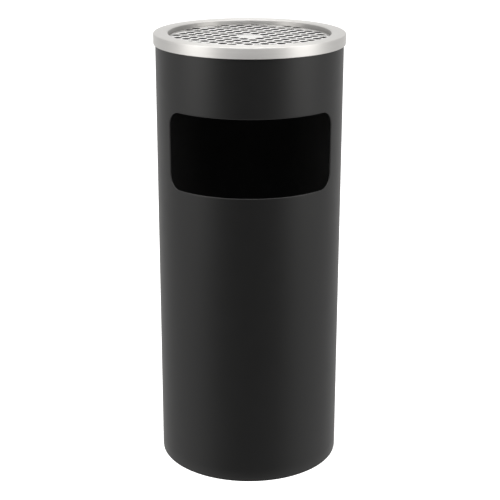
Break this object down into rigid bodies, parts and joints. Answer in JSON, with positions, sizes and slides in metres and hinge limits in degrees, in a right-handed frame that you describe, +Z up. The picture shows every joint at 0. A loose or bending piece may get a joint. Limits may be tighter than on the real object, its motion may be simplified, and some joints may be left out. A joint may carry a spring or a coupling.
{
  "type": "ashtray bin",
  "caption": "Tall round steel bin with a wide litter opening in its front, a brushed steel ash bowl and grid on top, and a lift-out galvanised liner.",
  "frame": {"origin": "centre of the foot, on the floor", "axes": "+Z up along the bin's axis, -Y out through the litter opening, +X to the right of someone who faces the opening"},
  "size_m": [0.2552, 0.2552, 0.6],
  "materials": {
    "black_powder_coat": "matte black powder coat",
    "black_rubber": "matte",
    "brushed_stainless": "brushed round the axis",
    "grid_stainless": "satin, punched",
    "galvanised_sheet": "hot-dip galvanised, spangled",
    "steel_wire": "zinc plated"
  },
  "bodies": {
    "body": {"body_shell": "black_powder_coat", "base_plate": "black_powder_coat", "base_ring": "black_rubber"},
    "liner": {"liner_wall": "galvanised_sheet", "liner_bottom": "galvanised_sheet", "liner_rim_wire": "steel_wire", "liner_ear_left": "galvanised_sheet", "liner_ear_right": "galvanised_sheet", "ear_rivets": "steel_wire"},
    "ash_bowl": {"ash_bowl": "brushed_stainless"},
    "ash_grid": {"ash_grid": "grid_stainless"},
    "bail": {"bail": "steel_wire"}
  },
  "joints": [
    {"name": "liner_lift", "type": "slide", "parent": "body", "child": "liner", "axis": [0, 0, 1], "range_m": [0, 0.6]},
    {"name": "bowl_lift", "type": "slide", "parent": "liner", "child": "ash_bowl", "axis": [0, 0, 1], "range_m": [0, 0.12]},
    {"name": "grid_lift", "type": "slide", "parent": "ash_bowl", "child": "ash_grid", "axis": [0, 0, 1], "range_m": [0, 0.05]},
    {"name": "bail_swing", "type": "hinge", "parent": "liner", "child": "bail", "pos_m": [0, 0, 0.3161], "axis": [-1, 0, 0], "range_deg": [0, 208]}
  ]
}
